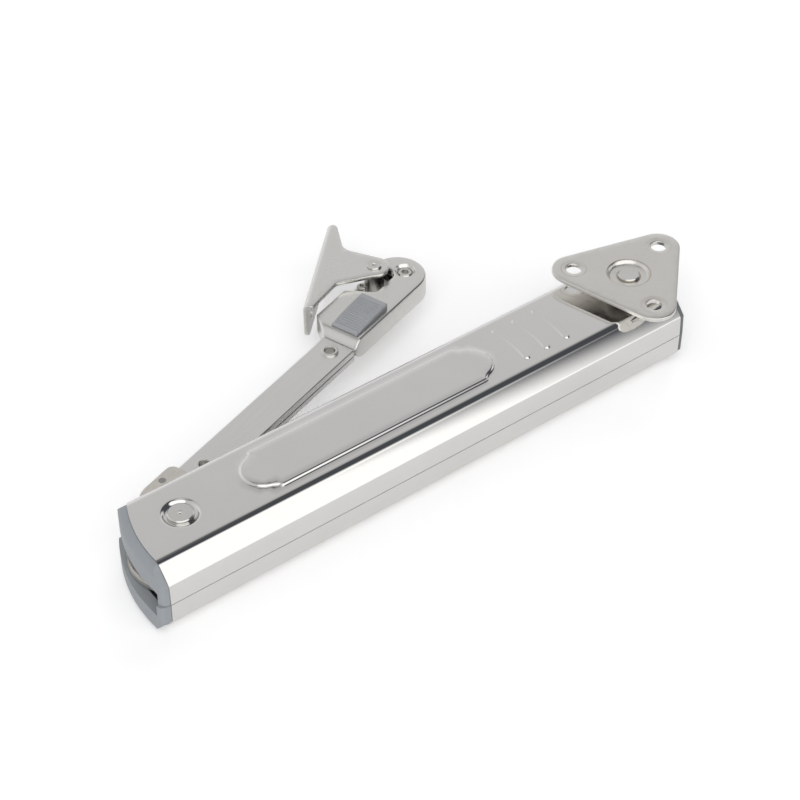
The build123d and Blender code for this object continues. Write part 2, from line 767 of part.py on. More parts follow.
os.makedirs("parts", exist_ok=True)
place = Pos(-pivot_to_plate, 0, -plate_top)
for name, part in housing_parts.items():
    export_step(place * part, f"parts/{name}.step")
for name, part in arm_parts.items():
    export_step(place * arm_frame(part), f"parts/{name}.step")
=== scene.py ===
from math import atan2, cos, pi, radians, sin, sqrt
import bmesh
import bpy
import numpy as np
from mathutils import Matrix, Vector
from mathutils.geometry import delaunay_2d_cdt


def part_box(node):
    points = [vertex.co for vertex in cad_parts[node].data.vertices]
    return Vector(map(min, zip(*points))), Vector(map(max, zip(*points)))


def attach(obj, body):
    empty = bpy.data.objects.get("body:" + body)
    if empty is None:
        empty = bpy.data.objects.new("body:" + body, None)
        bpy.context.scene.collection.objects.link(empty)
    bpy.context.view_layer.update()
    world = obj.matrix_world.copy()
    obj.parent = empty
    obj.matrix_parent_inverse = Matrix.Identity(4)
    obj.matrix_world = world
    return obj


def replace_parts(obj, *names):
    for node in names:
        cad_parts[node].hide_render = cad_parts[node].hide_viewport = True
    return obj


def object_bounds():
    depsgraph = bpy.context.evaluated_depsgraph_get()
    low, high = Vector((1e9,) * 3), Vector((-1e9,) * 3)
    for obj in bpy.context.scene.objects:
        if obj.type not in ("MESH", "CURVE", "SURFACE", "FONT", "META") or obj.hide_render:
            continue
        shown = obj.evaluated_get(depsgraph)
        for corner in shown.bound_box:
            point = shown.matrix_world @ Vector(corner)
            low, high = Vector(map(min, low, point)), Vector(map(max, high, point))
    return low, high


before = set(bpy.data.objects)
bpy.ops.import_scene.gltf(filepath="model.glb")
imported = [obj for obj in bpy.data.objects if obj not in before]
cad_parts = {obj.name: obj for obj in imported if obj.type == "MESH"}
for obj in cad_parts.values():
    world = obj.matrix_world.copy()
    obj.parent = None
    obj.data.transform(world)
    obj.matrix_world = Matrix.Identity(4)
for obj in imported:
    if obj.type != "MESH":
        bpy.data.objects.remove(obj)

cadLow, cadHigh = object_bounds()
mm = 0.001
scene = bpy.context.scene
scene.view_settings.view_transform = "Standard"


def middleOf(node):
    low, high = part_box(node)
    return (low + high) / 2


pivot = middleOf("cam_roller")                       # seam height, on the housing's centre line
pivot.x = middleOf("pivot_rivet").x
armAngle = atan2(middleOf("arm_rivet_far").y - middleOf("arm_rivet_near").y,
                 middleOf("arm_rivet_far").x - middleOf("arm_rivet_near").x)
toHousing = Matrix.Translation(pivot)                # drawn about the arm's pivot, X along the housing
toArm = toHousing @ Matrix.Rotation(armAngle, 4, "Z")  # the same, X along the arm

# small helpers for shader nodes


def newGroup(name, inputs, outputs):
    group = bpy.data.node_groups.new(name, "ShaderNodeTree")
    for label, kind, value in inputs:
        socket = group.interface.new_socket(name=label, in_out="INPUT", socket_type=kind)
        if value is not None:
            socket.default_value = value
    for label, kind in outputs:
        group.interface.new_socket(name=label, in_out="OUTPUT", socket_type=kind)
    return group, group.nodes.new("NodeGroupInput"), group.nodes.new("NodeGroupOutput")


def addNode(tree, kind, values=None, **settings):
    node = tree.nodes.new(kind)
    for key, value in settings.items():
        setattr(node, key, value)
    for key, value in (values or {}).items():
        if isinstance(value, bpy.types.NodeSocket):
            tree.links.new(value, node.inputs[key])
        else:
            node.inputs[key].default_value = value
    return node


def mathNode(tree, operation, *values):
    return addNode(tree, "ShaderNodeMath", dict(enumerate(values)), operation=operation).outputs[0]


def mixColor(tree, factor, a, b, blend="MIX"):
    return addNode(tree, "ShaderNodeMix", {"Factor": factor, 6: a, 7: b},
                   data_type="RGBA", blend_type=blend).outputs[2]


def mapRange(tree, value, low, high, toLow=0.0, toHigh=1.0):
    return addNode(tree, "ShaderNodeMapRange", {"Value": value, "From Min": low, "From Max": high,
                                                "To Min": toLow, "To Max": toHigh}).outputs[0]


def buildGrainGroup():
    inputs = [("Vector", "NodeSocketVector", None), ("Scale", "NodeSocketFloat", 900.0),
              ("Stretch", "NodeSocketVector", (1, 1, 1))]
    group, start, end = newGroup("grain", inputs, [("Fine", "NodeSocketFloat"), ("Broad", "NodeSocketFloat")])
    mapping = addNode(group, "ShaderNodeMapping", {"Vector": start.outputs["Vector"],
                                                   "Scale": start.outputs["Stretch"]})
    fine = addNode(group, "ShaderNodeTexNoise", {"Vector": mapping.outputs[0], "Scale": start.outputs["Scale"],
                                                 "Detail": 4.0, "Roughness": 0.6})
    broadScale = mathNode(group, "MULTIPLY", start.outputs["Scale"], 0.035)
    broad = addNode(group, "ShaderNodeTexNoise", {"Vector": mapping.outputs[0], "Scale": broadScale,
                                                  "Detail": 3.0, "Roughness": 0.55})
    group.links.new(fine.outputs[0], end.inputs["Fine"])
    group.links.new(broad.outputs[0], end.inputs["Broad"])
    return group


def buildRingGroup():
    # a soft ring round a point of the piece, seen along Z, such as a stain round a rivet
    inputs = [("Vector", "NodeSocketVector", None), ("Centre", "NodeSocketVector", None),
              ("Radius", "NodeSocketFloat", 0.005), ("Width", "NodeSocketFloat", 0.0005)]
    group, start, end = newGroup("ring", inputs, [("Mask", "NodeSocketFloat")])
    flat = addNode(group, "ShaderNodeVectorMath", {0: start.outputs["Vector"], 1: start.outputs["Centre"]},
                   operation="SUBTRACT")
    flat = addNode(group, "ShaderNodeVectorMath", {0: flat.outputs[0], 1: (1, 1, 0)}, operation="MULTIPLY")
    reach = addNode(group, "ShaderNodeVectorMath", {0: flat.outputs[0]}, operation="LENGTH").outputs["Value"]
    away = mathNode(group, "ABSOLUTE", mathNode(group, "SUBTRACT", reach, start.outputs["Radius"]))
    inside = mathNode(group, "DIVIDE", away, start.outputs["Width"])
    mask = mathNode(group, "MAXIMUM", mathNode(group, "SUBTRACT", 1.0, inside), 0.0)
    group.links.new(mask, end.inputs["Mask"])
    return group


grainGroup = buildGrainGroup()
ringGroup = buildRingGroup()


stainColor = (0.32, 0.24, 0.16)


def surface(name, color, metallic, roughness, grain=900.0, stretch=(1, 1, 1), mottle=0.06, bump=0.02,
            roughVary=0.05, turn=0.0, rings=()):
    material = bpy.data.materials.new(name)
    material.use_nodes = True
    tree = material.node_tree
    shader = tree.nodes["Principled BSDF"]
    shader.inputs["Metallic"].default_value = metallic
    vector = addNode(tree, "ShaderNodeTexCoord").outputs["Object"]
    if turn:
        vector = addNode(tree, "ShaderNodeMapping", {"Vector": vector, "Rotation": (0, 0, -turn)}).outputs[0]
    noise = addNode(tree, "ShaderNodeGroup", node_tree=grainGroup)
    tree.links.new(vector, noise.inputs["Vector"])
    noise.inputs["Scale"].default_value = grain
    noise.inputs["Stretch"].default_value = stretch
    light = tuple(min(1, c * (1 + mottle)) for c in color)
    dark = tuple(c * (1 - mottle) for c in color)
    blend = mapRange(tree, noise.outputs["Broad"], 0.3, 0.7)
    base = mixColor(tree, blend, (*dark, 1), (*light, 1))
    speck = mapRange(tree, noise.outputs["Fine"], 0.35, 0.65, 1 - mottle * 0.6, 1 + mottle * 0.4)
    base = addNode(tree, "ShaderNodeVectorMath", {0: base, 1: speck}, operation="MULTIPLY").outputs[0]
    for centre, radius, width, strength in rings:
        ring = addNode(tree, "ShaderNodeGroup", node_tree=ringGroup)
        tree.links.new(addNode(tree, "ShaderNodeTexCoord").outputs["Object"], ring.inputs["Vector"])
        ring.inputs["Centre"].default_value = centre
        ring.inputs["Radius"].default_value = radius
        ring.inputs["Width"].default_value = width
        patchy = mathNode(tree, "MULTIPLY", ring.outputs["Mask"], mapRange(tree, noise.outputs["Broad"], 0.35, 0.6))
        base = mixColor(tree, mathNode(tree, "MULTIPLY", patchy, strength), base, (*stainColor, 1))
    tree.links.new(base, shader.inputs["Base Color"])
    rough = mapRange(tree, noise.outputs["Broad"], 0.3, 0.7, roughness - roughVary, roughness + roughVary)
    tree.links.new(rough, shader.inputs["Roughness"])
    relief = addNode(tree, "ShaderNodeBump", {"Height": noise.outputs["Fine"], "Strength": bump, "Distance": 0.0002})
    tree.links.new(relief.outputs[0], shader.inputs["Normal"])
    return material


screwCircle, plateTurn = 0.018475, 15                # of the mounting plate's three holes
plateHoles = [(screwCircle * cos(radians(plateTurn + 120 * n)), screwCircle * sin(radians(plateTurn + 120 * n)), 0)
              for n in range(3)]
plateRings = [((0, 0, 0), 0.0073, 0.0004, 0.7), ((0, 0, 0), 0.0039, 0.0005, 0.9)]
plateRings += [(hole, 0.0043, 0.0005, 0.25) for hole in plateHoles]

finishes = {
    "polished_steel": dict(color=(0.82, 0.81, 0.79), metallic=1, roughness=0.07, grain=1400, mottle=0.015, bump=0.012,
                           roughVary=0.02),
    "cap_plastic": dict(color=(0.29, 0.31, 0.33), metallic=0, roughness=0.42, grain=2600, mottle=0.05, bump=0.12),
    "nickel_plate": dict(color=(0.84, 0.82, 0.78), metallic=1, roughness=0.30, grain=1500, mottle=0.045, bump=0.10,
                         rings=plateRings),
    "arm_steel": dict(color=(0.84, 0.83, 0.81), metallic=1, roughness=0.27, grain=700, stretch=(0.12, 1, 1),
                      mottle=0.03, bump=0.05, turn=armAngle),
    "root_steel": dict(color=(0.78, 0.75, 0.69), metallic=1, roughness=0.27, grain=800, mottle=0.08, bump=0.05),
    "head_steel": dict(color=(0.84, 0.83, 0.80), metallic=1, roughness=0.26, grain=1800, mottle=0.02, bump=0.05),
    "rivet_steel": dict(color=(0.78, 0.77, 0.74), metallic=1, roughness=0.22, grain=1600, mottle=0.04, bump=0.04),
    "button_plastic": dict(color=(0.34, 0.35, 0.365), metallic=0, roughness=0.45, grain=3000, mottle=0.03, bump=0.08),
    "inner_plastic": dict(color=(0.05, 0.05, 0.055), metallic=0, roughness=0.5, grain=2000, mottle=0.1, bump=0.1),
    "spring_steel": dict(color=(0.30, 0.29, 0.28), metallic=1, roughness=0.35, grain=1500, mottle=0.1, bump=0.05),
    "bush_brass": dict(color=(0.62, 0.47, 0.22), metallic=1, roughness=0.3, grain=1500, mottle=0.06, bump=0.04),
    "dark_steel": dict(color=(0.40, 0.39, 0.38), metallic=1, roughness=0.3, grain=1500, mottle=0.08, bump=0.04),
    # darker copy of the cap plastic for the right end caps: painted shade, the right end lies in shade
    "end_plastic_painted_shade": dict(color=(0.14, 0.155, 0.15), metallic=0, roughness=0.4, grain=2600, mottle=0.05, bump=0.12),
}
materials = {name: surface(name + "_look", **values) for name, values in finishes.items()}
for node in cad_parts.values():
    for entry in node.material_slots:
        entry.material = materials[entry.material.name.split(".")[0]]
# the right end caps take the darker cap plastic, which is painted shade; hub bush and root pin take dark steel
otherLooks = {"dark_steel": ("hub_bush", "root_pin"), "end_plastic_painted_shade": ("right_cap_upper", "right_cap_lower")}
for look, names in otherLooks.items():
    for name in names:
        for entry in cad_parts[name].material_slots:
            entry.material = materials[look]
print("materials done")

# helpers that turn outlines in millimetres into meshes


def addPiece(name, points, faces, finish, body, matrix, smooth=40):
    mesh = bpy.data.meshes.new(name)
    mesh.from_pydata([tuple(point) for point in np.asarray(points) * mm], [], [tuple(face) for face in faces])
    work = bmesh.new()
    work.from_mesh(mesh)
    bmesh.ops.remove_doubles(work, verts=work.verts, dist=0.00001)
    bmesh.ops.recalc_face_normals(work, faces=work.faces)
    work.to_mesh(mesh)
    work.free()
    mesh.transform(matrix)
    piece = bpy.data.objects.new(name, mesh)
    scene.collection.objects.link(piece)
    mesh.materials.append(materials[finish])
    for face in mesh.polygons:
        face.use_smooth = True
    mesh.set_sharp_from_angle(angle=radians(smooth))
    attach(piece, body)
    return piece


def roundedLoop(corners, step=0.4):
    # corners are (x, y, radius); each is rounded, and long sides are divided
    loop = []
    count = len(corners)
    for index, (x, y, radius) in enumerate(corners):
        here = np.array((x, y))
        before = np.array(corners[index - 1][:2]) - here
        after = np.array(corners[(index + 1) % count][:2]) - here
        before = before / np.hypot(*before)
        after = after / np.hypot(*after)
        if radius <= 0:
            loop.append(here)
            continue
        half = np.arccos(np.clip(before @ after, -1, 1)) / 2
        centre = here + (before + after) / np.hypot(*(before + after)) * radius / sin(half)
        first = here + before * radius / np.tan(half) - centre
        sweep = pi - 2 * half
        side = 1 if (before[0] * after[1] - before[1] * after[0]) < 0 else -1
        steps = max(3, int(sweep * radius / step) + 2)
        for n in range(steps + 1):
            turn = side * sweep * n / steps
            loop.append(centre + (first[0] * cos(turn) - first[1] * sin(turn),
                                  first[0] * sin(turn) + first[1] * cos(turn)))
    return divided(loop, step * 2.5)


def divided(loop, step):
    points = []
    for a, b in zip(loop, loop[1:] + loop[:1]):
        pieces = max(1, int(np.hypot(*(np.array(b) - a)) / step))
        points += [np.array(a) + (np.array(b) - a) * n / pieces for n in range(pieces)]
    return np.array(points)


def circleLoop(x, y, radius, count=40):
    angles = np.arange(count) * 2 * pi / count
    return np.stack((x + radius * np.cos(angles), y + radius * np.sin(angles)), 1)


def loopNormals(loop):
    ahead = np.roll(loop, -1, 0) - np.roll(loop, 1, 0)
    ahead /= np.hypot(ahead[:, 0], ahead[:, 1])[:, None] + 1e-12
    area = np.sum(loop[:, 0] * np.roll(loop[:, 1], -1) - loop[:, 1] * np.roll(loop[:, 0], -1))
    return np.stack((ahead[:, 1], -ahead[:, 0]), 1) * (1 if area > 0 else -1)


def grown(loop, distance):
    return loop + loopNormals(loop) * distance


def distanceTo(points, loop):
    near = np.full(len(points), 1e9)
    for a, b in zip(loop, np.roll(loop, -1, 0)):
        along = b - a
        share = np.clip(((points - a) @ along) / (along @ along + 1e-12), 0, 1)
        gap = points - a - share[:, None] * along
        near = np.minimum(near, gap[:, 0] ** 2 + gap[:, 1] ** 2)
    return np.sqrt(near)


def isInside(points, loop):
    inside = np.zeros(len(points), bool)
    for a, b in zip(loop, np.roll(loop, -1, 0)):
        crosses = (a[1] > points[:, 1]) != (b[1] > points[:, 1])
        height = b[1] - a[1] if b[1] != a[1] else 1e-12
        inside ^= crosses & (points[:, 0] < a[0] + (points[:, 1] - a[1]) * (b[0] - a[0]) / height)
    return inside


def smoothStep(value):
    value = np.clip(value, 0, 1)
    return value * value * (3 - 2 * value)


def triangles(outer, holes, lines, step):
    # fills the outline with triangles, keeping every given loop and line as edges
    loops = [outer] + list(holes) + [loop for loop, closed in lines if closed]
    points, edges = [], []
    for loop in loops:
        first = len(points)
        points += list(loop)
        edges += [(first + n, first + (n + 1) % len(loop)) for n in range(len(loop))]
    for line in [line for line, closed in lines if not closed]:
        first = len(points)
        points += list(line)
        edges += [(first + n, first + n + 1) for n in range(len(line) - 1)]
    low, high = outer.min(0), outer.max(0)
    columns = np.arange(low[0] + step / 2, high[0], step)
    rows = np.arange(low[1] + step / 2, high[1], step)
    grid = np.stack(np.meshgrid(columns, rows), -1).reshape(-1, 2)
    grid[:, 0] += (np.round((grid[:, 1] - low[1]) / step) % 2) * step / 2
    known = np.array(points)
    clear = np.array([np.min((known[:, 0] - x) ** 2 + (known[:, 1] - y) ** 2) for x, y in grid]) > (0.6 * step) ** 2
    grid = grid[clear & isInside(grid, outer)]
    found = delaunay_2d_cdt([Vector(p) for p in points] + [Vector(p) for p in grid], edges, [], 0, 1e-6)
    flat = np.array([tuple(v) for v in found[0]])
    faces = np.array([face for face in found[2] if len(face) == 3])
    centres = flat[faces].mean(1)
    keep = isInside(centres, outer)
    for hole in holes:
        keep &= ~isInside(centres, hole)
    return flat, faces[keep]


def sheetPiece(name, outer, holes, thickness, lift, place, finish, body, matrix, step=1.5, edge=0.3, lines=(),
               underEdge=0.15, smooth=35):
    # a sheet pressed from a flat outline: lift raises it, place puts it in space, its edges are rounded
    rims = []
    for loop, sign in [(outer, -1)] + [(hole, 1) for hole in holes]:
        rims += [(grown(loop, sign * edge * part), True) for part in (0.12, 0.4, 1.0)]
    flat, faces = triangles(outer, holes, rims + list(lines), step)
    gap = distanceTo(flat, outer)
    for hole in holes:
        gap = np.minimum(gap, distanceTo(flat, hole))
    height = lift(flat)
    drop = edge - np.sqrt(np.maximum(edge ** 2 - np.maximum(edge - gap, 0) ** 2, 0))
    away = np.maximum(underEdge - gap * underEdge / edge, 0)
    under = underEdge - np.sqrt(np.maximum(underEdge ** 2 - away ** 2, 0))
    top = place(flat, height - drop)
    bottom = place(flat, height - thickness + under)
    count = len(flat)
    allFaces = [tuple(face) for face in faces] + [tuple(face[::-1] + count) for face in faces]
    uses = {}
    for face in faces:
        for a, b in ((0, 1), (1, 2), (2, 0)):
            key = (face[a], face[b])
            uses[key] = uses.get(key, 0) + 1
    allFaces += [(b, a, a + count, b + count) for a, b in uses if (b, a) not in uses]
    return addPiece(name, np.concatenate((top, bottom)), allFaces, finish, body, matrix, smooth)


def flatPlace(flat, height):
    return np.column_stack((flat, height))


# housing shells

shell = {
    "width": 38.0, "height": 13.5, "wall": 1.0, "side": 7.4, "draft": 0.2, "bevelRun": 5.4, "bend": 3.5,
    "bevelCrown": 0.16, "gap": 0.1, "leftArc": 52.1, "leftOverhang": 16.7, "arcStart": -10.95,
    "right": 186.9, "slotHalf": 4.5, "slotEnd": 62.0, "columns": 150,
}


def arcX(y):
    centre = shell["leftArc"] - shell["leftOverhang"]
    return centre - np.sqrt(shell["leftArc"] ** 2 - np.maximum(y - shell["arcStart"], 0) ** 2)


def shellProfile():
    # half of the section, from the seam up the side and over to the flat top: (y outwards, z)
    half, top = shell["width"] / 2, shell["height"]
    crease = np.array((half - shell["draft"], shell["side"]))
    corner = np.array((half - shell["draft"] - shell["bevelRun"], top))
    slope = atan2(corner[1] - crease[1], crease[0] - corner[0])
    points = [np.array((half - shell["draft"] * t, shell["gap"] + (shell["side"] - 0.25 - shell["gap"]) * t))
              for t in (0, 0.2, 0.4, 0.6, 0.8, 1.0)]
    tangent = shell["bend"] * np.tan(slope / 2)
    along = (corner - crease) / np.hypot(*(corner - crease))
    outward = np.array((along[1], -along[0]))
    start, stop = crease + along * 0.25, corner - along * tangent
    length = np.hypot(*(stop - start))
    for n in range(19):
        t = n / 18
        points.append(start + along * length * t + outward * shell["bevelCrown"] * 4 * t * (1 - t))
    centre = np.array((corner[0] - tangent, top - shell["bend"]))
    for n in range(1, 25):
        turn = (pi / 2 - slope) + slope * n / 24
        points.append(centre + shell["bend"] * np.array((cos(turn), sin(turn))))
    return np.array(points)


def normalsOf(profile):
    ahead = np.gradient(profile, axis=0)
    ahead /= np.hypot(ahead[:, 0], ahead[:, 1])[:, None]
    return np.stack((ahead[:, 1], -ahead[:, 0]), 1)


def bandMesh(rows):
    # joins rows of equal length with four-sided faces, on the outside and the inside
    count = len(rows[0][0])
    outside = np.concatenate([row[0] for row in rows])
    inside = np.concatenate([row[1] for row in rows])
    total = len(outside)
    faces = []
    for r in range(len(rows) - 1):
        for c in range(count - 1):
            a = r * count + c
            faces.append((a, a + 1, a + count + 1, a + count))
            faces.append((total + a + count, total + a + count + 1, total + a + 1, total + a))
    return np.concatenate((outside, inside)), faces, count, total


def shellBand(side, profile, normals, starts):
    rows = []
    for (y, z), (ny, nz), start in zip(profile, normals, starts):
        x = np.linspace(start, shell["right"], shell["columns"])
        outer = np.column_stack((x, np.full_like(x, side * y), np.full_like(x, z)))
        inner = np.column_stack((x, np.full_like(x, side * (y - ny * shell["wall"])),
                                 np.full_like(x, z - nz * shell["wall"])))
        rows.append((outer, inner))
    return rows


def closedBand(rows):
    points, faces, count, total = bandMesh(rows)
    for r in range(len(rows) - 1):
        a, b = r * count, (r + 1) * count
        faces.append((a, b, b + total, a + total))
        faces.append((a + count - 1, a + count - 1 + total, b + count - 1 + total, b + count - 1))
    faces += [(c, c + 1, c + 1 + total, c + total) for c in range(count - 1)]
    return points, faces


plaque = {"centre": 70.9, "length": 80.6, "width": 18.6, "lobe": 7.5, "rise": 0.8, "edge": 1.1}
ribs = {"start": 128.5, "pitch": 8.4, "count": 3, "length": 18.0, "width": 2.4, "rise": 0.5, "sag": 0.9, "edge": 0.5}
dimple = {"outer": 6.3, "inner": 4.7, "depth": 1.1}
hole = {"pivot": 4.2, "plate": 3.05}


def plaqueLoop():
    halfLength, halfWidth, lobe = plaque["length"] / 2, plaque["width"] / 2, plaque["lobe"]
    loop = []
    for side in (1, -1):
        notch = lobe - 0.5
        arc = [(halfLength + lobe * cos(a), lobe * sin(a)) for a in np.linspace(-1.32, 1.32, 30)]
        shoulder = [(halfLength - 0.2, -halfWidth), (halfLength, -halfWidth + 0.9)]
        loop += [(side * x, side * y) for x, y in shoulder + arc + [(x, -y) for x, y in shoulder[::-1]]]
    return divided([np.array((plaque["centre"] + x, y)) for x, y in loop], 1.0)


def ribLoop(x, grow=0.0):
    half = ribs["length"] / 2 - ribs["width"] / 2
    r = ribs["width"] / 2 + grow

    def middle(y):
        return x + ribs["sag"] * (1 - (y / half) ** 2)

    right = [(middle(y) + r, y) for y in np.linspace(-half, half, 26)]
    top = [(middle(half) + r * cos(a), half + r * sin(a)) for a in np.linspace(0, pi, 11)[1:-1]]
    left = [(middle(y) - r, y) for y in np.linspace(half, -half, 26)]
    bottom = [(middle(half) + r * cos(a), -half + r * sin(a)) for a in np.linspace(pi, 2 * pi, 11)[1:-1]]
    return np.array(right + top + left + bottom)


def signedDistance(points, loop):
    return np.where(isInside(points, loop), -1, 1) * distanceTo(points, loop)


def shellPiece(name, upper):
    profile = shellProfile()
    normals = normalsOf(profile)
    slotRow = int(np.argmin(np.abs(profile[:, 1] - shell["slotHalf"])))
    profile[slotRow, 1] = shell["slotHalf"]
    front = shellBand(-1, profile, normals, arcX(-profile[:, 0]))
    backTop = shellBand(1, profile[slotRow:], normals[slotRow:], arcX(profile[slotRow:, 0]))
    slotCentre = shell["slotEnd"] - shell["slotHalf"]
    cut = slotCentre + np.sqrt(np.maximum(shell["slotHalf"] ** 2 - profile[:slotRow + 1, 1] ** 2, 0))
    backLow = shellBand(1, profile[:slotRow + 1], normals[:slotRow + 1], cut)
    parts = [closedBand(front), closedBand(backTop), closedBand(backLow)]
    reach = profile[-1, 0]
    leftEdge = [(arcX(np.array(y)), y) for y in np.linspace(-reach, reach, 30)[1:-1]]
    lowSide = [(x, -reach) for x in np.linspace(arcX(np.array(-reach)), shell["right"], shell["columns"])]
    highSide = [(x, reach) for x in np.linspace(arcX(np.array(reach)), shell["right"], shell["columns"])]
    outer = np.array(lowSide + highSide[::-1] + leftEdge[::-1], float)
    pivotHole, plateHole = circleLoop(0, 0, hole["pivot"]), circleLoop(-pivot.x / mm, 0, hole["plate"])
    lines = [(circleLoop(0, 0, r, 72), True) for r in np.linspace(dimple["inner"], dimple["outer"], 7)]
    lines += [(circleLoop(0, 0, r, 72), True) for r in (dimple["outer"] + 0.5, dimple["inner"] - 0.25)]
    shapes = []
    if upper:
        edgeOf = plaque["edge"]
        shape = plaqueLoop()
        shapes.append((shape, plaque["rise"], edgeOf))
        lines += [(grown(shape, edgeOf * part), True) for part in (-0.5, -0.3, -0.1, 0.1, 0.3, 0.5)]
        for n in range(ribs["count"]):
            x = ribs["start"] + n * ribs["pitch"]
            shapes.append((ribLoop(x), ribs["rise"], ribs["edge"]))
            lines += [(ribLoop(x, ribs["edge"] * part), True) for part in (-0.5, -0.2, 0.2, 0.5)]
    flat, faces = triangles(outer, [pivotHole, plateHole], lines, 2.2)
    radius = np.hypot(flat[:, 0], flat[:, 1])
    height = -dimple["depth"] * smoothStep((dimple["outer"] - radius) / (dimple["outer"] - dimple["inner"]))
    for shape, rise, width in shapes:
        height += rise * smoothStep(0.5 - signedDistance(flat, shape) / width)
    top = np.column_stack((flat, shell["height"] + height))
    bottom = np.column_stack((flat, shell["height"] + height - shell["wall"]))
    count = len(flat)
    parts.append((np.concatenate((top, bottom)),
                  [tuple(f) for f in faces] + [tuple(f[::-1] + count) for f in faces]))
    rimFaces = []
    uses = {(f[a], f[b]) for f in faces for a, b in ((0, 1), (1, 2), (2, 0))}
    for a, b in uses:
        onSide = abs(abs(flat[a, 1]) - reach) < 1e-6 and abs(flat[a, 1] - flat[b, 1]) < 1e-6
        if (b, a) not in uses and not onSide:
            rimFaces.append((b, a, a + count, b + count))
    parts[-1][1].extend(rimFaces)
    points, allFaces, offset = [], [], 0
    for partPoints, partFaces in parts:
        points.append(partPoints)
        allFaces += [tuple(int(i) + offset for i in face) for face in partFaces]
        offset += len(partPoints)
    points = np.concatenate(points)
    matrix = toHousing if upper else toHousing @ Matrix.Diagonal((1, 1, -1, 1))
    piece = addPiece(name, points, allFaces, "polished_steel", "housing", matrix, smooth=30)
    if not upper:
        piece.data.flip_normals()
    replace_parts(piece, "upper_shell" if upper else "lower_shell")
    return piece


shellPiece("upperShellSkin", True)
shellPiece("lowerShellSkin", False)
print("shells done")

# mounting plate

plate = {"corner": 7.3, "thickness": 1.5, "hole": 2.6, "dishOuter": 7.4, "dishInner": 6.2,
         "dishDepth": 1.3, "centreHole": 3.05, "edge": 0.35}


def platePiece():
    spots = np.array(plateHoles)[:, :2] / mm
    loop = []
    for n, (x, y) in enumerate(spots):
        facing = radians(plateTurn + 120 * n)
        for turn in np.linspace(-pi / 3, pi / 3, 22):
            loop.append(np.array((x + plate["corner"] * cos(facing + turn),
                                  y + plate["corner"] * sin(facing + turn))))
    outer = divided(loop, 1.0)
    holes = [circleLoop(x, y, plate["hole"], 48) for x, y in spots] + [circleLoop(0, 0, plate["centreHole"], 48)]
    lines = [(circleLoop(0, 0, r, 80), True)
             for r in np.linspace(plate["dishInner"] - 0.3, plate["dishOuter"] + 0.3, 9)]

    def lift(flat):
        radius = np.hypot(flat[:, 0], flat[:, 1])
        wall = plate["dishOuter"] - plate["dishInner"]
        return -plate["dishDepth"] * smoothStep((plate["dishOuter"] - radius) / wall)

    piece = sheetPiece("mountPlateSkin", outer, holes, plate["thickness"], lift, flatPlace, "nickel_plate", "plate",
                       Matrix.Identity(4), step=1.6, edge=plate["edge"], lines=lines)
    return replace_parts(piece, "mount_plate")


platePiece()
print("plate done")

# head cover

cover = {"near": 8.1, "far": 28.2, "start": 101.5, "roundAt": 140.4, "top": 5.3, "bottom": -2.4, "wall": 1.0,
         "bend": 0.8, "rampLength": 3.3, "rampLow": 2.75, "cornerRadius": 4.5, "pocketFloor": 2.85,
         "shoulder": 107.1, "armFar": 21.2,
         "pocket": ((123.2, 28.2), (128.6, 18.6), (141.3, 18.6), (141.3, 28.2))}
adjuster = {"at": (143.6, 17.0), "outer": 3.5, "inner": 2.7, "depth": 1.0}


def coverTop(t):
    return cover["rampLow"] + (cover["top"] - cover["rampLow"]) * smoothStep((t - cover["start"] + 0.25)
                                                                            / cover["rampLength"])


def coverBottom(t):
    radius = cover["cornerRadius"]
    away = np.maximum(radius - (t - cover["start"]), 0)
    return cover["bottom"] + radius - np.sqrt(np.maximum(radius ** 2 - away ** 2, 0)) * 0.999


def coverLoop():
    near, far, half = cover["near"], cover["far"], (cover["far"] - cover["near"]) / 2
    arc = [(cover["roundAt"] + half * cos(a), near + half + half * sin(a), 0)
           for a in np.linspace(-pi / 2, 1.48, 34)]
    a, b, c, d = cover["pocket"]
    corners = [(cover["start"], near, 0.6)] + arc
    corners += [(d[0], d[1] - 0.02, 0.0), (c[0], c[1], 3.4), (b[0], b[1], 2.0)]
    corners += [(a[0], a[1], 1.2), (cover["shoulder"], far, 1.0),
                (cover["start"], cover["armFar"], 0.6)]
    return roundedLoop(corners, 0.35)


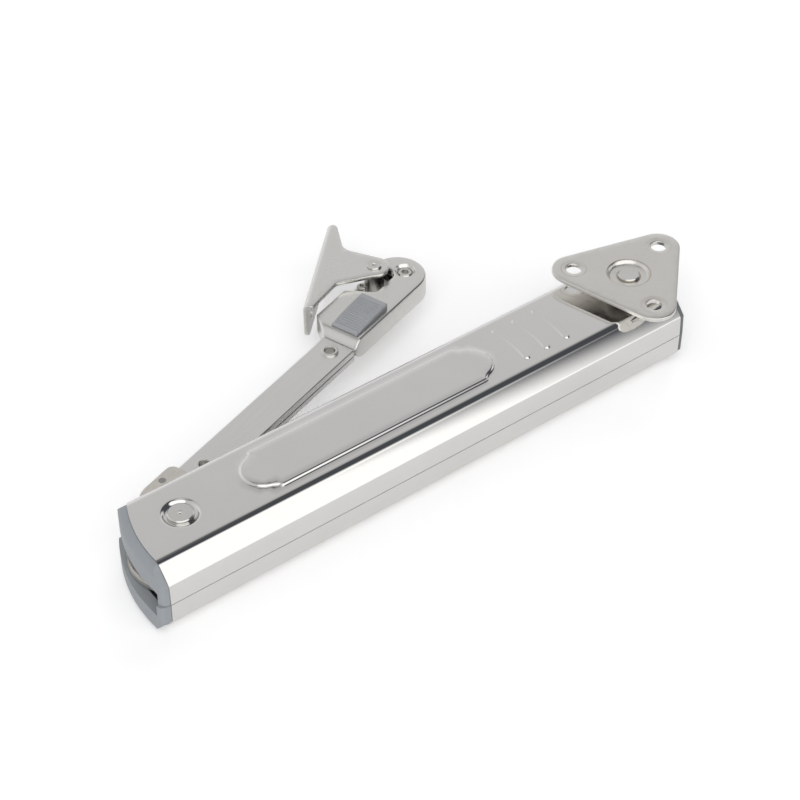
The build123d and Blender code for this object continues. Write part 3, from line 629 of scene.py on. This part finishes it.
def coverPiece():
    outer = coverLoop()
    x, y = adjuster["at"]
    dish = circleLoop(x, y, adjuster["inner"], 40)
    bend = cover["bend"]
    inner = grown(outer, -bend)
    lines = [(circleLoop(x, y, r, 40), True)
             for r in np.linspace(adjuster["inner"] + 0.2, adjuster["outer"] + 0.2, 4)]
    for part in (0.4, 0.9, 1.4, 1.9, 2.5):
        t = cover["start"] + bend + part
        sides = np.linspace(cover["near"] + bend + 0.05, cover["armFar"] - 0.2 - bend + part, 14)
        lines.append((np.array([(t, s) for s in sides]), False))
    flat, faces = triangles(inner, [dish], lines, 1.3)
    radius = np.hypot(flat[:, 0] - x, flat[:, 1] - y)
    wall = adjuster["outer"] - adjuster["inner"]
    height = -adjuster["depth"] * smoothStep((adjuster["outer"] + 0.2 - radius) / wall)
    points = [np.column_stack((flat, cover["top"] + height))]
    allFaces = [tuple(face) for face in faces]
    offset, count = len(flat), len(outer)
    inPocket = (outer[:, 0] > cover["pocket"][0][0] + 0.6) & (outer[:, 0] < cover["pocket"][2][0] + 0.1)
    inPocket &= outer[:, 1] > cover["pocket"][1][1] - 1.0
    floor = np.where(inPocket, cover["pocketFloor"], cover["bottom"])
    rings = [np.column_stack((grown(outer, -bend + bend * sin(a)),
                              np.full(count, cover["top"] - bend * (1 - cos(a)))))
             for a in np.linspace(0, pi / 2, 7)]
    rings.append(np.column_stack((outer, floor)))
    innerWall = grown(outer, -cover["wall"])
    rings.append(np.column_stack((innerWall, floor)))
    rings.append(np.column_stack((innerWall, np.full(count, cover["top"] - cover["wall"] - 0.2))))
    for ring in rings:
        points.append(ring)
    for r in range(len(rings) - 1):
        for n in range(count):
            m = (n + 1) % count
            a = offset + r * count
            allFaces.append((a + n, a + m, a + count + m, a + count + n))
    points = np.concatenate(points)
    share = (points[:, 2] - cover["bottom"]) / (cover["top"] - cover["bottom"])
    low, high = coverBottom(points[:, 0]), coverTop(points[:, 0])
    points[:, 2] = low + share * (high - low)
    piece = addPiece("headCoverSkin", points, allFaces, "head_steel", "arm", toArm, smooth=35)
    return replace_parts(piece, "head_cover")


coverPiece()
print("head cover done")

# release button

button = {"start": 104.9, "length": 17.8, "near": 9.9, "width": 10.4, "bottom": 5.35, "lowEnd": 6.3, "highEnd": 7.9,
          "crown": 0.55, "ribCount": 15, "ribPitch": 0.98, "ribDepth": 0.42, "ribFirst": 1.1, "round": 0.45}


def buttonPiece():
    length, width, r = button["length"], button["width"], button["round"]
    ts = np.linspace(0, length, 260)
    ss = np.concatenate(((0, 0.06, 0.15, 0.3, r), np.linspace(r, width - r, 14)[1:-1],
                         width - np.array((r, 0.3, 0.15, 0.06, 0))))
    top = button["lowEnd"] + (button["highEnd"] - button["lowEnd"]) * ts / length
    top += button["crown"] * 4 * ts / length * (1 - ts / length)
    inRibs = (ts > button["ribFirst"]) & (ts < button["ribFirst"] + button["ribCount"] * button["ribPitch"])
    wave = (0.5 - 0.5 * np.cos(2 * pi * (ts - button["ribFirst"]) / button["ribPitch"])) ** 2
    ribHeight = -button["ribDepth"] * wave * inRibs
    points, count = [], len(ss)
    for t, z, ribZ in zip(ts, top, ribHeight):
        away = np.minimum(np.minimum(ss, width - ss), min(t, length - t))
        drop = r - np.sqrt(np.maximum(r ** 2 - np.maximum(r - away, 0) ** 2, 0))
        points += [(button["start"] + t, button["near"] + s, z + ribZ - d) for s, d in zip(ss, drop)]
    faces = []
    for i in range(len(ts) - 1):
        faces += [(i * count + j, (i + 1) * count + j, (i + 1) * count + j + 1, i * count + j + 1)
                  for j in range(count - 1)]
    last = (len(ts) - 1) * count
    rim = list(range(count)) + [i * count + count - 1 for i in range(1, len(ts))]
    rim += [last + j for j in range(count - 2, -1, -1)] + [i * count for i in range(len(ts) - 2, 0, -1)]
    base = len(points)
    points += [(points[i][0], points[i][1], button["bottom"]) for i in rim]
    faces += [(rim[n], rim[(n + 1) % len(rim)], base + (n + 1) % len(rim), base + n) for n in range(len(rim))]
    faces.append(tuple(base + n for n in range(len(rim))))
    piece = addPiece("buttonSkin", points, faces, "button_plastic", "button", toArm, smooth=170)
    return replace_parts(piece, "release_button")


buttonPiece()
print("button done")

# door bracket, unrolled along its fold

bracket = {"corner": (105.0, 32.3), "angle": 25.6, "length": 46.2, "top": 8.5, "thickness": 1.5, "fold": 2.2,
           "height": 15.0, "cornerRadius": 4.0, "hole": 2.3, "holePitch": 32.0, "holeHeight": 6.2, "lug": 5.1,
           "hub": (136.3, 24.8), "pinHole": 2.05, "throat": (121.5, 30.2), "lugFirst": (132.4, 21.5),
           "lugLast": (141.35, 25.4), "inner": (138.2, 39.2)}


def bracketPiece():
    turn = radians(bracket["angle"])
    toFold = np.array(((cos(turn), sin(turn)), (-sin(turn), cos(turn))))
    corner = np.array(bracket["corner"])

    def local(x, y):
        return toFold @ (np.array((x, y)) - corner)

    bend = bracket["fold"] * pi / 2
    drop = bracket["height"] - bracket["fold"]
    hub = local(*bracket["hub"])
    start, stop = local(*bracket["lugFirst"]) - hub, local(*bracket["lugLast"]) - hub
    first, final = atan2(start[1], start[0]), atan2(stop[1], stop[0])
    lug = [(hub[0] + bracket["lug"] * cos(a), hub[1] + bracket["lug"] * sin(a), 0)
           for a in np.linspace(first, final, 24)]
    shift = bracket["fold"]
    web = [(0, -3.5, 0.8), (*local(*bracket["throat"]), 4.0)] + lug
    web += [(*local(*bracket["inner"]), 5.0), (bracket["length"], -3.4, 2.2)]
    corners = [(x, y + shift, r) for x, y, r in web]
    corners += [(bracket["length"], bend + drop, bracket["cornerRadius"]), (0, bend + drop, bracket["cornerRadius"])]
    outer = roundedLoop(corners, 0.4)
    holeLevel = bend + drop - bracket["holeHeight"]
    holes = [circleLoop(bracket["length"] / 2 + side * bracket["holePitch"] / 2, holeLevel, bracket["hole"], 40)
             for side in (-1, 1)]
    holes.append(circleLoop(hub[0], hub[1] + shift, bracket["pinHole"], 40))
    lines = [(np.array([(x, v) for x in np.linspace(0.4, bracket["length"] - 0.4, 30)]), False)
             for v in np.linspace(0, bend, 9)]

    def place(flat, height):
        x, v = flat[:, 0], flat[:, 1]
        angle = np.clip(v / bracket["fold"], 0, pi / 2)
        radius = bracket["fold"] + height
        y = np.where(v <= 0, v - shift, -shift + radius * np.sin(angle))
        z = np.where(v <= 0, bracket["top"] + height, bracket["top"] - bracket["fold"] + radius * np.cos(angle))
        z = z - np.maximum(v - bend, 0)
        back = np.column_stack((x, y)) @ toFold
        return np.column_stack((back + corner, z))

    piece = sheetPiece("doorBracketSkin", outer, holes, bracket["thickness"], lambda flat: np.zeros(len(flat)), place,
                       "head_steel", "bracket", toArm, step=1.6, edge=0.25, lines=lines)
    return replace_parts(piece, "door_bracket")


bracketPiece()
print("bracket done")

# floor, light and camera

floorLevel = cadLow.z
floorMesh = bpy.data.meshes.new("floor")
floorMesh.from_pydata([(-6, -6, floorLevel), (6, -6, floorLevel), (6, 6, floorLevel), (-6, 6, floorLevel)], [],
                      [(0, 1, 2, 3)])
floor = bpy.data.objects.new("floor", floorMesh)
scene.collection.objects.link(floor)
floorLook = bpy.data.materials.new("floor")
floorLook.use_nodes = True
tree = floorLook.node_tree
floorShader = tree.nodes["Principled BSDF"]
floorShader.inputs["Base Color"].default_value = (0.88, 0.88, 0.88, 1)
floorShader.inputs["Roughness"].default_value = 0.9
floorShader.inputs["Specular IOR Level"].default_value = 0.1
floorShader.inputs["Emission Color"].default_value = (1, 1, 1, 1)
cameraRay = addNode(tree, "ShaderNodeLightPath").outputs["Is Camera Ray"]
tree.links.new(mathNode(tree, "MULTIPLY", cameraRay, 0.25), floorShader.inputs["Emission Strength"])
floorMesh.materials.append(floorLook)

# the sky goes from floor to zenith in greys, with a bright box in front and a dark panel to the right
studio = {
    "front": 1.25, "dark": (0.07, 0.075, 0.085, 1), "edgeAzimuth": 37.0, "edgeSoft": 5.0,
    "ramp": ((0.0, 0.8), (0.55, 0.85), (0.75, 0.66), (0.86, 0.58), (0.93, 0.46), (0.955, 0.05), (1.0, 0.04)),
}
world = bpy.data.worlds.new("studio")
scene.world = world
world.use_nodes = True
tree = world.node_tree
direction = addNode(tree, "ShaderNodeSeparateXYZ", {0: addNode(tree, "ShaderNodeTexCoord").outputs["Generated"]})
dx, dy, dz = direction.outputs
ramp = addNode(tree, "ShaderNodeValToRGB", {"Fac": mapRange(tree, dz, -1, 1)})
for position, value in studio["ramp"]:
    stop = ramp.color_ramp.elements[0] if position == 0.0 else ramp.color_ramp.elements.new(position)
    stop.position = position
    stop.color = (value, value, value * 1.01, 1)
ramp.color_ramp.elements.remove(ramp.color_ramp.elements[-1])
azimuth = mathNode(tree, "ARCTAN2", dx, mathNode(tree, "MULTIPLY", dy, -1.0))
edge, soft = radians(studio["edgeAzimuth"]), radians(studio["edgeSoft"])
rightDark = mathNode(tree, "MULTIPLY", mapRange(tree, azimuth, edge - soft, edge + soft),
                     mapRange(tree, azimuth, radians(125), radians(95)))
rightDark = mathNode(tree, "MULTIPLY", rightDark, mapRange(tree, dz, 0.22, 0.34))
frontBox = mathNode(tree, "MULTIPLY", mapRange(tree, dy, -0.2, -0.3), mapRange(tree, dz, 0.90, 0.86))
frontBox = mathNode(tree, "MULTIPLY", frontBox, mapRange(tree, azimuth, edge + soft, edge - soft))
sky = mixColor(tree, frontBox, ramp.outputs[0], (studio["front"],) * 3 + (1,))
sky = mixColor(tree, rightDark, sky, studio["dark"])
cameraRay = addNode(tree, "ShaderNodeLightPath").outputs["Is Camera Ray"]
sky = mixColor(tree, cameraRay, sky, (1, 1, 1, 1))
tree.links.new(sky, tree.nodes["Background"].inputs["Color"])
tree.nodes["Background"].inputs["Strength"].default_value = 1.0


def addLamp(name, place, size, power, glossy):
    data = bpy.data.lights.new(name, "AREA")
    data.shape = "DISK"
    data.size = size
    data.energy = power
    lamp = bpy.data.objects.new(name, data)
    scene.collection.objects.link(lamp)
    lamp.location = place
    lamp.rotation_euler = (Vector((-0.1, 0, 0)) - Vector(place)).to_track_quat("-Z", "Y").to_euler()
    lamp.visible_glossy = glossy
    return lamp


addLamp("keyLamp", (-0.9, -0.9, 1.6), 1.2, 11, False)
addLamp("fillLamp", (1.1, 0.6, 1.4), 1.4, 5, False)

view = {"yaw": 37.16, "pitch": 41.37, "roll": -0.42, "eye": (-0.4121, -0.41625, 0.4553), "lens": 98.9}
yaw, pitch, roll = (radians(view[key]) for key in ("yaw", "pitch", "roll"))
ahead = Vector((sin(yaw) * cos(pitch), cos(yaw) * cos(pitch), -sin(pitch)))
right = Vector((cos(yaw), -sin(yaw), 0))
up = right.cross(ahead)
rightRolled = right * cos(roll) + up * sin(roll)
upRolled = up * cos(roll) - right * sin(roll)
cameraData = bpy.data.cameras.new("camera")
cameraData.lens = view["lens"]
cameraData.clip_start = 0.01
camera = bpy.data.objects.new("camera", cameraData)
scene.collection.objects.link(camera)
camera.matrix_world = Matrix((rightRolled, upRolled, -ahead)).transposed().to_4x4()
camera.matrix_world.translation = view["eye"]
scene.camera = camera
print("stage done")
